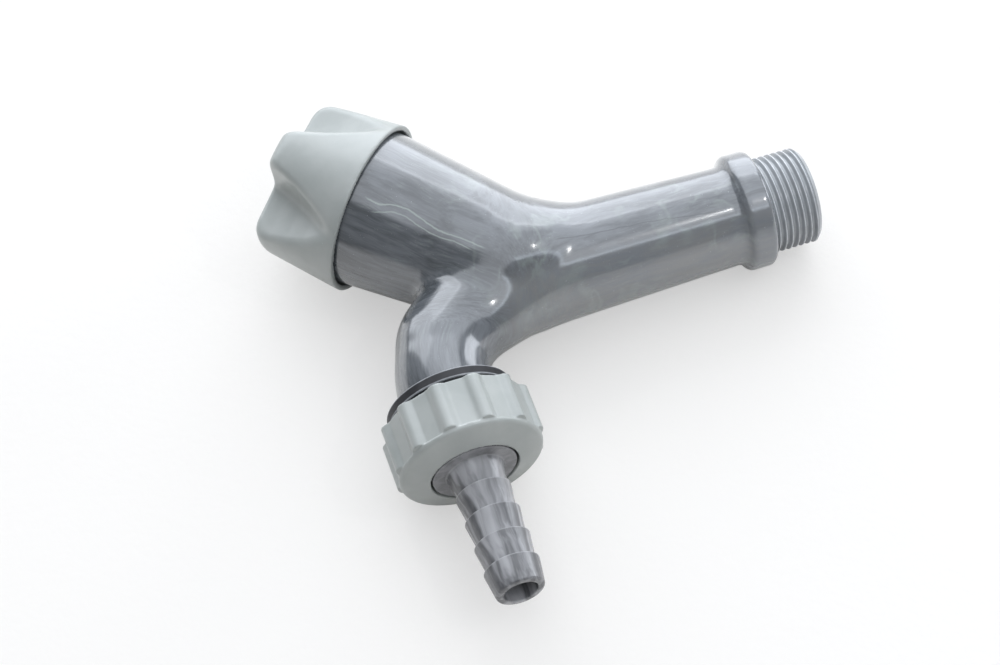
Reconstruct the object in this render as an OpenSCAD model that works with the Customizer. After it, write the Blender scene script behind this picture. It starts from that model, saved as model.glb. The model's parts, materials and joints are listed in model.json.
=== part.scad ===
// Plastic draw-off tap lying on its side: 3/4 inch male inlet, oblique headwork barrel under a four-lobed
// knob, and a curved spout with a union nut and a barbed hose tail.
// X runs out along the inlet, the outlet points along -Y and Z is the normal of the plane of the three axes.
// The origin is on the inlet axis, at the face of the inlet collar.

/* [Inlet] */
// Outside diameter of the inlet thread (3/4 inch pipe)
inlet_thread_d = 26.44; // [26:0.02:27]
// Length of the inlet thread
inlet_thread_len = 13.8; // [10:0.2:20]
// Chamfer at the open end of both body threads
thread_chamfer = 1.1; // [0.4:0.1:1.6]
// Bore of the inlet pipe
inlet_bore_d = 17; // [12:0.5:19]
// Diameter of the inlet collar
collar_d = 32.1; // [29:0.1:38]
// Width of the inlet collar
collar_w = 7; // [5:0.5:12]
// Rounding of the collar's edges
collar_round = 1.4; // [0.5:0.1:2]
// Outside diameter of the inlet pipe beside the collar
pipe_d = 26.7; // [24:0.1:28]
// Outside diameter of the inlet pipe at the junction
pipe_root_d = 31.2; // [29:0.1:34]
// Distance from the collar's face to the barrel axis, along the inlet
inlet_reach = 65.3; // [55:0.5:95]

/* [Barrel] */
// Angle from the inlet axis to the barrel axis
barrel_angle = 135; // [130:1:140]
// Outside diameter of the barrel at the junction
barrel_root_d = 35.3; // [34:0.1:38]
// Outside diameter of the barrel at its mouth
barrel_mouth_d = 44.2; // [42:0.1:44.4]
// Length of the barrel from the inlet axis to its mouth
barrel_len = 50; // [46:0.5:60]
// Inside diameter of the valve chamber
chamber_d = 27; // [25:0.5:29]
// Height of the chamber floor above the inlet axis
chamber_floor = 8.6; // [8:0.2:10]
// Bore of the valve seat
seat_bore_d = 14; // [11:0.5:15]
// Width of the valve seat's land
seat_land = 2.2; // [1.5:0.1:3]
// Height of the valve seat above the chamber floor
seat_h = 1.4; // [0.6:0.1:2.5]
// Radius of the centre line where the barrel turns into the inlet pipe
throat_bend_r = 39; // [32:1:44]

/* [Spout] */
// Distance between the barrel axis and the outlet axis, along the inlet
outlet_offset = 33.4; // [32:0.2:36]
// Outside diameter of the spout
spout_d = 25.4; // [24:0.2:27]
// Bore of the spout
spout_bore_d = 17; // [12:0.5:18]
// Bore of the outlet
outlet_bore_d = 19; // [18.6:0.2:22]
// Radius of the spout's centre line
spout_bend_r = 32; // [30:0.5:34]
// Diameter of the straight web in the corner between the spout and the inlet pipe
web_d = 24; // [22:0.2:24.8]
// Distance from the inlet axis to the web's foot in the spout
web_drop = 12.8; // [11:0.2:15]
// Distance from the outlet axis to the web's foot
web_inset = 4; // [3:0.2:5]
// Distance from the barrel's foot to where the web meets the inlet axis
web_lead = 11.4; // [8:0.2:16]
// Distance from the inlet axis to the spout's flange
flange_y = 31.3; // [31:0.1:35]
// Distance from the spout's flange back to where its bend lies square to the outlet
spout_neck = 3.5; // [2:0.1:4.5]
// Diameter of the spout's flange
flange_d = 34.2; // [34:0.1:37]
// Thickness of the spout's flange
flange_t = 2.7; // [1.5:0.1:3.2]
// Outside diameter of the outlet thread (1 inch pipe)
outlet_thread_d = 33.2; // [32:0.1:33.6]
// Length of the outlet thread
outlet_thread_len = 10.5; // [8:0.5:16]

/* [Headwork] */
// Diameter of the headwork's outer thread
headwork_thread_d = 32; // [30:0.5:34]
// Length of the headwork's outer thread
headwork_thread_len = 13.5; // [10:0.5:16]
// Diameter of the headwork's flange
headwork_flange_d = 37; // [35:0.5:38]
// Thickness of the headwork's flange
headwork_flange_t = 2; // [1.5:0.1:2.4]
// Size across flats of the headwork's hexagon
hex_af = 24; // [21:0.5:25]
// Height of the headwork's hexagon
hex_h = 4.4; // [3:0.2:6]
// Height of the headwork's neck above its hexagon
neck_h = 2.2; // [1:0.2:4]
// Thickness of the headwork's moulded walls
headwork_wall = 2.6; // [2:0.1:3]
// Section diameter of the seal under the headwork's flange
body_seal_d = 1.8; // [1.2:0.1:2.4]

/* [Spindle] */
// Diameter of the spindle's lifting thread
spindle_thread_d = 16; // [14:0.5:17]
// Length of the spindle's lifting thread
spindle_thread_len = 10; // [8:0.5:12]
// Diameter of the spindle's smooth stem
stem_d = 12; // [10.5:0.5:13]
// Diameter of the spindle's shank below the thread
shank_d = 13; // [12:0.5:14]
// Side of the square that drives the knob
square_af = 7.6; // [6:0.2:8]
// Length of the square that drives the knob
square_len = 6; // [4:0.5:8]
// Lift of the spindle from shut to fully open
lift = 3.75; // [2:0.25:4.5]
// Thickness of the retaining ring
retainer_t = 1.2; // [0.8:0.1:2]
// Diameter of the retaining ring
retainer_d = 19.4; // [18:0.2:21]
// Depth of the retaining ring's groove
retainer_groove = 0.8; // [0.4:0.1:1.2]
// Section diameter of the spindle seals
stem_seal_d = 1.8; // [1.2:0.1:2]
// Distance between the two spindle seals
stem_seal_pitch = 3.2; // [2.4:0.1:3.4]

/* [Jumper] */
// Diameter of the jumper's plate
jumper_d = 19.6; // [19:0.2:22]
// Thickness of the jumper's plate
jumper_t = 3.2; // [2.4:0.1:4.5]
// Diameter of the jumper's stem
jumper_stem_d = 7; // [5:0.5:8]
// Length of the jumper's stem
jumper_stem_len = 12; // [8:0.5:15]
// Diameter of the seat washer
washer_d = 18.8; // [18:0.2:19]
// Thickness of the seat washer
washer_t = 3.5; // [2.5:0.1:4.5]
// Diameter of the washer screw's shank
washer_screw_d = 3.4; // [2.5:0.1:4]
// Diameter of the washer screw's head
washer_screw_head_d = 7; // [6:0.2:9]
// Height of the washer screw's head
washer_screw_head_h = 2; // [1.4:0.1:2.6]
// Length of the washer screw's shank
washer_screw_len = 10; // [8:0.5:12]

/* [Knob] */
// Length by which the knob's rim laps over the barrel's mouth
knob_lap = 2.1; // [1:0.1:3.6]
// Height of the knob from rim to end
knob_h = 26.5; // [26:0.5:32]
// Diameter of the knob at its rim
knob_rim_d = 48.2; // [48:0.1:52]
// Diameter of the knob at its end
knob_end_d = 43; // [42:0.2:46]
// Rounding of the knob's end
knob_end_round = 3; // [1:0.2:4]
// Wall of the knob's skirt
skirt_wall = 1.1; // [0.8:0.1:1.2]
// Number of lobes on the knob
lobes = 4; // [3:1:4]
// Turn of the first scoop about the barrel axis, from the plane of the tap
scoop_turn = 31.5; // [0:0.5:90]
// Distance from the rim at which the scoops begin
scoop_start = 2.4; // [1.5:0.1:4]
// Distance from the knob's axis to the bottom of a scoop at the knob's end
scoop_core = 8.2; // [7.6:0.1:11]
// Angle between the two flanks of a scoop
scoop_angle = 100; // [80:2:110]
// Radius in the bottom of a scoop
scoop_r = 2; // [1:0.2:3]
// Diameter of the screw head's recess in the knob
recess_d = 9; // [8.6:0.2:10]
// Thickness of the web under the screw's head
knob_web = 3; // [2:0.2:4]

/* [Handle screw and cap] */
// Diameter of the handle screw's shank
screw_d = 3.6; // [2.8:0.1:4]
// Length of the handle screw's shank
screw_len = 11; // [9:0.5:13]
// Diameter of the handle screw's head
screw_head_d = 7.6; // [6.6:0.2:8]
// Height of the handle screw's head
screw_head_h = 2.2; // [1.6:0.1:2.6]
// Width of the screw slots
slot_w = 1; // [0.6:0.1:1.4]
// Thickness of the cap over the handle screw
cap_t = 1.8; // [1.2:0.1:2.2]

/* [Union nut] */
// Gap between the spout's flange and the union nut
nut_gap = 1.9; // [0.6:0.1:2.4]
// Length of the nut's gripping part
nut_grip_len = 13.5; // [12:0.1:14]
// Length of the smooth band in front of the grips
nut_band = 1.2; // [0.6:0.1:2]
// Diameter of the nut's band
nut_d = 39.2; // [38:0.2:44]
// Number of grip ribs
ribs = 12; // [8:1:16]
// Height of the grip ribs
rib_h = 0.9; // [0.4:0.1:1.4]
// Width of the grip ribs
rib_w = 4.6; // [3:0.2:5]
// Diameter of the hole in the nut
nut_hole_d = 24; // [23:0.2:26]
// Thickness of the nut's front wall
nut_front = 3.4; // [2:0.1:4]

/* [Hose tail] */
// Thickness of the hose tail's flange
tail_flange_t = 3; // [2:0.1:5]
// Thickness of the tail gasket
gasket_t = 2.2; // [1:0.1:3]
// Diameter of the hose tail's neck at its root, inside the hub
tail_root_d = 17.8; // [16:0.1:19]
// Diameter of the hose tail's neck behind the first barb
tail_neck_d = 14.2; // [13.4:0.1:14.6]
// Length of the hose tail beyond the nut
tail_len = 36.4; // [31:0.2:60]
// Diameter over the barbs
barb_d = 15; // [14.7:0.1:17]
// Diameter at the foot of a barb
barb_foot_d = 12.9; // [12.4:0.1:14]
// Number of barbs
barbs = 4; // [2:1:5]
// Distance between barbs
barb_pitch = 7.5; // [6:0.1:9]
// Bore of the hose tail
tail_bore_d = 9.2; // [8:0.1:10.4]
// Rounding of the hose tail's end
tail_round = 0.8; // [0.3:0.1:1]

/* [Fits] */
// Radial clearance of threads and turning fits
running = 0.05; // [0.03:0.01:0.08]
// Radial clearance between the union nut and the hose tail
tail_play = 0.5; // [0.3:0.1:0.8]
// Clearance between faces that pass or press on each other
face_gap = 0.05; // [0.03:0.01:0.1]
// Clearance between moving pieces that don't touch
free_gap = 0.4; // [0.3:0.1:0.6]
// Chamfer at the ends of the small inner pieces, and round the knob's rim
small_chamfer = 0.5; // [0.3:0.1:0.7]

/* [Hidden] */
$fn = 96;

barrel_x = -inlet_reach;
outlet_x = barrel_x - outlet_offset;
spout_turn = 180 - barrel_angle;
// Heights along the barrel axis, from the inlet axis
seat_z = chamber_floor + seat_h;
washer_z = seat_z + face_gap;
plate_z = washer_z + washer_t;
jumper_top = plate_z + jumper_t;
spindle_z = jumper_top + face_gap;
headwork_z = barrel_len - headwork_thread_len;
hex_z = barrel_len + headwork_flange_t;
neck_z = hex_z + hex_h;
neck_top = neck_z + neck_h;
lift_end = headwork_z + spindle_thread_len + lift;
thread_z = headwork_z - face_gap;
retainer_z = headwork_z - lift - face_gap - free_gap / 2 - retainer_t;
stem_top = neck_top + free_gap;
square_z = stem_top + square_len;
web_z = square_z + face_gap;
head_z = web_z + knob_web;
knob_rim = barrel_len - knob_lap;
knob_end = knob_rim + knob_h;
cap_z = knob_end - cap_t - free_gap / 2;
// Distances along the outlet axis, from the inlet axis
spout_y = flange_y - spout_neck;
flange_turn = asin((spout_neck + flange_t / 2) / spout_bend_r);
thread_y = flange_y + flange_t;
nut_y = thread_y + nut_gap;
outlet_y = thread_y + outlet_thread_len;
tail_y = outlet_y + gasket_t;
shoulder_y = tail_y + tail_flange_t + face_gap;
nut_nose_y = nut_y + nut_grip_len + nut_band;
nut_end = shoulder_y + nut_front;
tail_end = nut_end + tail_len;
// How far the web runs along the inlet axis
web_run = outlet_offset + web_lead - web_inset;
// How far the bend in the throat lies under the tubes that it joins
throat_step = 0.4;
// How far the spout's outside and its passage turn on inside the barrel, in degrees
spout_root = 30;
passage_root = 15;
// How far the corners of the nut's flats lie under its band, and how far the band laps over their ends
flat_step = 0.1;
band_lap = 0.3;
// Depth inside the flange at which the outlet's wider bore starts
outlet_step = 0.6;
eps = 0.01;

// Places its children on the inlet axis, with Z pointing out of the inlet.
module on_inlet() {
    rotate([0, 90, 0]) children();
}

// Places its children on the barrel axis, with Z pointing out of the barrel.
module on_barrel() {
    translate([barrel_x, 0, 0]) rotate([0, 0, barrel_angle]) rotate([0, 90, 0]) children();
}

// Places its children on the outlet axis, with Z pointing out of the outlet.
module on_outlet() {
    translate([outlet_x, 0, 0]) rotate([90, 0, 0]) children();
}

// A flat ring with the hole r_in.
module ring(r_in, r_out, z, h) {
    translate([0, 0, z]) difference() {
        cylinder(r = r_out, h = h);
        translate([0, 0, -1]) cylinder(r = r_in, h = h + 2);
    }
}

// A round-section seal whose section touches the radius r_in from outside.
module seal_ring(r_in, d, z) {
    translate([0, 0, z]) rotate_extrude() translate([r_in + d / 2, 0]) circle(d = d, $fn = 32);
}

// A straight shaft with a chamfer at its far end.
module chamfered(r, h, c) {
    cylinder(r = r, h = h - c + eps);
    translate([0, 0, h - c]) cylinder(r1 = r, r2 = r - c, h = c);
}

// A tube's centre line: a quarter-or-less bend in the XY plane, about the origin.
module bend(centre_r, r, from, turn) {
    rotate([0, 0, from]) rotate_extrude(angle = turn) translate([centre_r, 0]) circle(r = r);
}

// The spout's passage or its outside, from inside the flange to a reach inside the barrel.
module spout_run(r, reach) {
    translate([outlet_x + spout_bend_r, -spout_y, 0]) bend(spout_bend_r, r, 180 - reach, reach + flange_turn);
}

module inlet_collar() {
    r = collar_d / 2;
    rotate_extrude() {
        translate([0, -collar_w]) square([r - collar_round, collar_w]);
        translate([0, -collar_w + collar_round]) square([r, collar_w - 2 * collar_round]);
        for (z = [-collar_w + collar_round, -collar_round])
            translate([r - collar_round, z]) circle(r = collar_round, $fn = 48);
        // hollow fillet down to the pipe
        translate([0, -collar_w - collar_round]) difference() {
            square([pipe_d / 2 + collar_round, collar_round + eps]);
            translate([pipe_d / 2 + collar_round, 0]) circle(r = collar_round, $fn = 48);
        }
    }
}

module valve_body() {
    color("dimgray") difference() {
        union() {
            on_inlet() {
                chamfered(inlet_thread_d / 2, inlet_thread_len, thread_chamfer);
                inlet_collar();
                translate([0, 0, -inlet_reach])
                    cylinder(d1 = pipe_root_d, d2 = pipe_d, h = inlet_reach - collar_w / 2);
            }
            translate([barrel_x, 0, 0]) sphere(d = pipe_root_d);
            on_barrel() cylinder(d1 = barrel_root_d, d2 = barrel_mouth_d, h = barrel_len);
            translate([barrel_x + throat_bend_r * tan(spout_turn / 2), throat_bend_r, 0])
                bend(throat_bend_r, pipe_root_d / 2 - throat_step, 270 - spout_turn, spout_turn);
            spout_run(spout_d / 2, spout_turn + spout_root);
            translate([outlet_x + web_inset, -web_drop, 0]) rotate([0, 0, atan2(web_drop, web_run)])
                rotate([0, 90, 0]) cylinder(d = web_d, h = norm([web_drop, web_run]));
            on_outlet() {
                translate([0, 0, flange_y]) cylinder(d = flange_d, h = flange_t);
                translate([0, 0, flange_y]) chamfered(outlet_thread_d / 2, outlet_y - flange_y, thread_chamfer);
            }
        }
        on_outlet() translate([0, 0, flange_y + outlet_step]) cylinder(d = outlet_bore_d, h = outlet_y);
        spout_run(spout_bore_d / 2, spout_turn + passage_root);
        on_inlet() translate([0, 0, -inlet_reach])
            cylinder(d = inlet_bore_d, h = inlet_reach + inlet_thread_len + 1);
        on_barrel() {
            cylinder(d = seat_bore_d, h = barrel_len);
            ring(seat_bore_d / 2 + seat_land, chamber_d / 2, chamber_floor, seat_z - chamber_floor + eps);
            translate([0, 0, seat_z]) cylinder(d = chamber_d, h = barrel_len);
            translate([0, 0, headwork_z - free_gap])
                cylinder(r = headwork_thread_d / 2 + running, h = barrel_len);
        }
    }
}

module headwork() {
    color("gray") on_barrel() difference() {
        union() {
            translate([0, 0, headwork_z]) cylinder(d = headwork_thread_d, h = headwork_thread_len + eps);
            translate([0, 0, barrel_len]) cylinder(d = headwork_flange_d, h = headwork_flange_t);
            translate([0, 0, hex_z - eps]) cylinder(d = hex_af / cos(30), h = hex_h + eps, $fn = 6);
            translate([0, 0, neck_z - eps]) cylinder(r = stem_d / 2 + headwork_wall, h = neck_h + eps);
        }
        // lifting thread, then the stem's bore and its two seal grooves
        translate([0, 0, headwork_z - 1])
            cylinder(r = spindle_thread_d / 2 + running, h = lift_end - headwork_z + 1 + face_gap);
        translate([0, 0, headwork_z]) cylinder(r = stem_d / 2 + running, h = neck_top);
        for (z = stem_seal_z)
            ring(stem_d / 2, stem_d / 2 + stem_seal_d, z - stem_seal_d / 2, stem_seal_d);
        // groove for the seal on the barrel's mouth
        ring(body_seal_r, headwork_thread_d / 2 + 1, barrel_len - body_seal_d, body_seal_d);
        // moulded coring
        ring(spindle_thread_d / 2 + headwork_wall, headwork_thread_d / 2 - headwork_wall - body_seal_d,
            headwork_z - 1, headwork_thread_len - headwork_wall + 1);
    }
}
stem_seal_z = [neck_top - headwork_wall / 2 - stem_seal_d / 2 - stem_seal_pitch,
    neck_top - headwork_wall / 2 - stem_seal_d / 2];
body_seal_r = headwork_thread_d / 2 - body_seal_d;

module headwork_seal() {
    color("black") on_barrel()
        seal_ring(body_seal_r, body_seal_d, barrel_len - body_seal_d / 2);
}

module spindle_seal(index) {
    color("black") on_barrel() seal_ring(stem_d / 2 + running, stem_seal_d - running, stem_seal_z[index]);
}

module spindle() {
    color("silver") on_barrel() difference() {
        union() {
            translate([0, 0, spindle_z]) cylinder(d = shank_d, h = thread_z - spindle_z + eps);
            translate([0, 0, thread_z]) cylinder(d = spindle_thread_d, h = spindle_thread_len);
            translate([0, 0, thread_z]) cylinder(d = stem_d, h = stem_top - thread_z);
            translate([-square_af / 2, -square_af / 2, stem_top - eps]) cube([square_af, square_af, square_len + eps]);
        }
        translate([0, 0, spindle_z - 1])
            cylinder(r = jumper_stem_d / 2 + running, h = jumper_stem_len + 1 + free_gap);
        ring(shank_d / 2 - retainer_groove, shank_d, retainer_z, retainer_t);
        translate([0, 0, head_z - screw_len - free_gap]) cylinder(d = screw_d, h = screw_len + 5);
    }
}

module retaining_ring() {
    color("silver") on_barrel() difference() {
        ring(shank_d / 2 - retainer_groove, retainer_d / 2, retainer_z, retainer_t);
        translate([0, -retainer_groove, retainer_z - 1]) cube([retainer_d, 2 * retainer_groove, retainer_t + 2]);
    }
}

module jumper() {
    color("goldenrod") on_barrel() difference() {
        union() {
            translate([0, 0, plate_z]) cylinder(d = jumper_d, h = jumper_t);
            translate([0, 0, plate_z]) chamfered(jumper_stem_d / 2, jumper_t + jumper_stem_len, small_chamfer);
        }
        translate([0, 0, plate_z - 1])
            cylinder(d = washer_screw_d, h = washer_screw_len - washer_t + 1 + free_gap);
    }
}

module seat_washer() {
    color("black") on_barrel() ring(washer_screw_d / 2 + running, washer_d / 2, washer_z, washer_t);
}

module washer_screw() {
    color("silver") on_barrel() difference() {
        union() {
            translate([0, 0, washer_z - washer_screw_head_h])
                cylinder(d = washer_screw_head_d, h = washer_screw_head_h);
            translate([0, 0, washer_z - eps]) cylinder(d = washer_screw_d, h = washer_screw_len);
        }
        translate([-washer_screw_head_d, -slot_w / 2, washer_z - washer_screw_head_h - 1])
            cube([2 * washer_screw_head_d, slot_w, 2]);
    }
}

// Radius of the knob's cone at a height above its rim.
function knob_r(z) = knob_rim_d / 2 + (knob_end_d - knob_rim_d) / 2 * z / knob_h;

// Outline of the knob's outside, turned about the barrel axis.
module knob_outline() {
    difference() {
        polygon([[0, 0], [knob_r(0) - small_chamfer, 0], [knob_r(small_chamfer), small_chamfer],
            [knob_r(knob_h), knob_h], [0, knob_h]]);
        translate([knob_r(knob_h) - knob_end_round, knob_h - knob_end_round]) difference() {
            square(2 * knob_end_round);
            circle(r = knob_end_round, $fn = 64);
        }
    }
}

// A V-shaped scoop whose rounded bottom rises from the knob's core at its end to its skin near the rim.
module scoop() {
    rise = knob_h - scoop_start;
    fall = knob_r(scoop_start) - scoop_core;
    half = scoop_angle / 2;
    reach = knob_rim_d;
    flank = (reach + scoop_r / sin(half) - scoop_r) * tan(half);
    step = (180 - scoop_angle) / 6;
    translate([scoop_core, 0, knob_h]) rotate([0, -atan(fall / rise), 0]) translate([0, 0, -reach])
        linear_extrude(2 * reach) polygon([
            [reach, -flank],
            for (i = [-3 : 3]) [scoop_r * (1 - cos(i * step)), scoop_r * sin(i * step)],
            [reach, flank]
        ]);
}

module knob() {
    bay_r = barrel_mouth_d / 2 + free_gap;
    bay_h = barrel_len + free_gap - knob_rim;
    skirt_r = knob_rim_d / 2 - skirt_wall;
    color("#a8b2b0") on_barrel() difference() {
        translate([0, 0, knob_rim]) difference() {
            rotate_extrude() knob_outline();
            for (i = [0 : lobes - 1]) rotate([0, 0, scoop_turn + i * 360 / lobes]) scoop();
        }
        // room for the barrel's mouth, the headwork's flange, its hexagon and its neck
        translate([0, 0, knob_rim - 1])
            cylinder(r1 = skirt_r + (skirt_r - bay_r) / bay_h, r2 = bay_r, h = bay_h + 1);
        translate([0, 0, knob_rim - 1])
            cylinder(r = headwork_flange_d / 2 + free_gap, h = hex_z + free_gap - knob_rim + 1);
        translate([0, 0, knob_rim]) cylinder(r = hex_af / 2 / cos(30) + free_gap, h = neck_z + free_gap - knob_rim);
        translate([0, 0, knob_rim])
            cylinder(r = stem_d / 2 + headwork_wall + free_gap, h = stem_top - knob_rim);
        // square socket, screw hole and screw recess
        translate([-square_af / 2 - running, -square_af / 2 - running, stem_top - 1])
            cube([square_af + 2 * running, square_af + 2 * running, square_len + 1 + face_gap]);
        translate([0, 0, web_z - 1]) cylinder(r = screw_d / 2 + free_gap / 2, h = knob_h);
        translate([0, 0, head_z]) cylinder(d = recess_d, h = knob_h);
    }
}

module handle_screw() {
    color("silver") on_barrel() difference() {
        union() {
            translate([0, 0, head_z]) cylinder(d = screw_head_d, h = screw_head_h);
            translate([0, 0, head_z - screw_len]) cylinder(d = screw_d, h = screw_len + eps);
        }
        for (a = [0, 90]) rotate([0, 0, a])
            translate([-screw_head_d / 3, -slot_w / 2, head_z + screw_head_h / 2])
                cube([screw_head_d / 1.5, slot_w, screw_head_h]);
    }
}

module knob_cap() {
    color("#a8b2b0") on_barrel() translate([0, 0, cap_z]) difference() {
        chamfered(recess_d / 2, cap_t, small_chamfer);
        translate([0, 0, -1]) cylinder(r = recess_d / 2 - 1, h = 1 + cap_t / 2);
    }
}

module union_nut() {
    grip_r = nut_d / 2;
    color("#aab4b2") on_outlet() difference() {
        union() {
            translate([0, 0, nut_y]) {
                translate([0, 0, nut_grip_len - band_lap]) cylinder(r = grip_r, h = nut_band + band_lap);
                rotate([0, 0, 180 / ribs]) {
                    cylinder(r = grip_r - flat_step, h = nut_grip_len, $fn = ribs);
                    for (i = [0 : ribs - 1]) rotate([0, 0, i * 360 / ribs])
                        translate([grip_r + rib_h - rib_w / 2, 0, 0])
                            cylinder(d = rib_w, h = nut_grip_len, $fn = 24);
                }
            }
            translate([0, 0, nut_nose_y]) cylinder(r1 = grip_r, r2 = nut_hole_d / 2, h = nut_end - nut_nose_y);
        }
        translate([0, 0, nut_y - 1]) cylinder(r = outlet_thread_d / 2 + running, h = shoulder_y - nut_y + 1);
        cylinder(d = nut_hole_d, h = nut_end + 1);
    }
}

module hose_tail() {
    first = nut_end + tail_len - barbs * barb_pitch;
    color("slategray") on_outlet() difference() {
        union() {
            translate([0, 0, tail_y]) cylinder(r = outlet_thread_d / 2 - running, h = tail_flange_t);
            translate([0, 0, tail_y]) cylinder(r = nut_hole_d / 2 - tail_play, h = nut_end - tail_y);
            translate([0, 0, tail_y]) cylinder(d1 = tail_root_d, d2 = tail_neck_d, h = first - tail_y);
            for (i = [0 : barbs - 2])
                translate([0, 0, first + i * barb_pitch - eps])
                    cylinder(d1 = barb_d, d2 = barb_foot_d, h = barb_pitch + 2 * eps);
            translate([0, 0, tail_end - barb_pitch]) rotate_extrude() difference() {
                polygon([[0, 0], [barb_d / 2, 0], [barb_foot_d / 2, barb_pitch], [0, barb_pitch]]);
                translate([barb_foot_d / 2 - tail_round, barb_pitch - tail_round]) difference() {
                    square(2 * tail_round);
                    circle(r = tail_round, $fn = 32);
                }
            }
        }
        translate([0, 0, tail_y - 1]) cylinder(d = tail_bore_d, h = tail_end);
    }
}

module tail_gasket() {
    color("black") on_outlet() ring(outlet_bore_d / 2, outlet_thread_d / 2 - free_gap, outlet_y, gasket_t);
}

valve_body();
headwork();
headwork_seal();
spindle_seal(0);  // spindle_seal_inner
spindle_seal(1);  // spindle_seal_outer
spindle();
retaining_ring();
jumper();
seat_washer();
washer_screw();
knob();
handle_screw();
knob_cap();
union_nut();
hose_tail();
tail_gasket();
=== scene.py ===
"""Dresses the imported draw-off tap: moulded body, threads, knob, union nut, hose tail, finishes and stage."""

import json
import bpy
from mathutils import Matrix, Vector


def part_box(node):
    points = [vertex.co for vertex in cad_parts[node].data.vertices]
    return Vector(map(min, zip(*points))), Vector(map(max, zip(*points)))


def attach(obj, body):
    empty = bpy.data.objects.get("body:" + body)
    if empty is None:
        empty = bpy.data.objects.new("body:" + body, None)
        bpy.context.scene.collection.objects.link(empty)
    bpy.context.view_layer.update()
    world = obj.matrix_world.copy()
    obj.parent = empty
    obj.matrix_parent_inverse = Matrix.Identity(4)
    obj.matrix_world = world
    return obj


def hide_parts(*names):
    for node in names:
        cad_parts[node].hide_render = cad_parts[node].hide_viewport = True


bl_info = {
    "name": "Draw-off Tap",
    "version": (1, 0, 0),
    "blender": (4, 5, 0),
    "location": "3D View > Sidebar > Tap",
    "description": "Builds the pieces, finishes and stage of a plastic draw-off tap with a hose tail",
    "category": "Object",
}

from math import atan2, cos, pi, radians, sin, sqrt, tan

import bpy
import numpy as np
from bpy.props import FloatProperty, FloatVectorProperty, IntProperty, PointerProperty
from bpy.types import Operator, Panel, PropertyGroup
from mathutils import Matrix, Vector

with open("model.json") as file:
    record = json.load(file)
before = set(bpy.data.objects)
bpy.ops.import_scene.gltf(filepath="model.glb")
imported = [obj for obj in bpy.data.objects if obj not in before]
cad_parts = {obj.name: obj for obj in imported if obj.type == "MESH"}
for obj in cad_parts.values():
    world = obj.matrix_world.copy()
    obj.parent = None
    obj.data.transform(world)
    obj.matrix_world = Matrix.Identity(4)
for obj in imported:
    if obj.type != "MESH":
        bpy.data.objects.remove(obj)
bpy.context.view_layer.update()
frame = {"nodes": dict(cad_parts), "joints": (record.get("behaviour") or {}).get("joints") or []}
JOINTS = {joint["name"]: joint for joint in frame["joints"]}
MM = 0.001
UP = (0.0, 0.0, 1.0)
TINY = 1e-9  # keeps a division away from zero
ARC_STEP = 0.22  # widest angle between two points of a rounding, in radians


# Axes of the tap


class Axis:
    """A line of the tap with a frame of its own: across (up at rest), aside and along it."""

    def __init__(self, origin, along):
        along = np.array(along, float)
        across = np.array(UP)
        self.origin = np.array(origin, float)
        self.rows = np.array([across, np.cross(along, across), along])

    def local(self, points):
        return (points - self.origin) @ self.rows.T

    def world(self, points):
        return points @ self.rows + self.origin


def barrel_foot():
    """Where the barrel's axis crosses the inlet's, found from the knob's hinge."""
    hinge = JOINTS["knob_turn"]
    back = hinge["pos_m"][1] / hinge["axis"][1]
    return [hinge["pos_m"][0] - back * hinge["axis"][0], 0.0, 0.0]


INLET = Axis((0.0, 0.0, 0.0), (1.0, 0.0, 0.0))
BARREL = Axis(barrel_foot(), JOINTS["knob_turn"]["axis"])
OUTLET = Axis((JOINTS["nut_turn"]["pos_m"][0], 0.0, 0.0), (0.0, -1.0, 0.0))
NUT_BACK = -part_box("union_nut")[1].y
NUT_FRONT = -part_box("union_nut")[0].y
TAIL_END = -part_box("hose_tail")[0].y
TAIL_START = -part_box("hose_tail")[1].y
INLET_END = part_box("valve_body")[1].x
OUTLET_END = -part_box("valve_body")[0].y


# Settings


def length(name, default, text):
    return FloatProperty(name=name, description=text, default=default, subtype="DISTANCE", unit="LENGTH",
                         precision=5)


def angle(name, default, text):
    """An angle, whose default is given in degrees."""
    return FloatProperty(name=name, description=text, default=radians(default), subtype="ANGLE",
                         unit="ROTATION")


def amount(name, default, text):
    return FloatProperty(name=name, description=text, default=default, min=0.0)


def count(name, default, least, most, text):
    return IntProperty(name=name, description=text, default=default, min=least, max=most)


def tint(name, default, text):
    return FloatVectorProperty(name=name, description=text, default=default, size=3, min=0.0, max=1.0,
                               subtype="COLOR")


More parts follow.
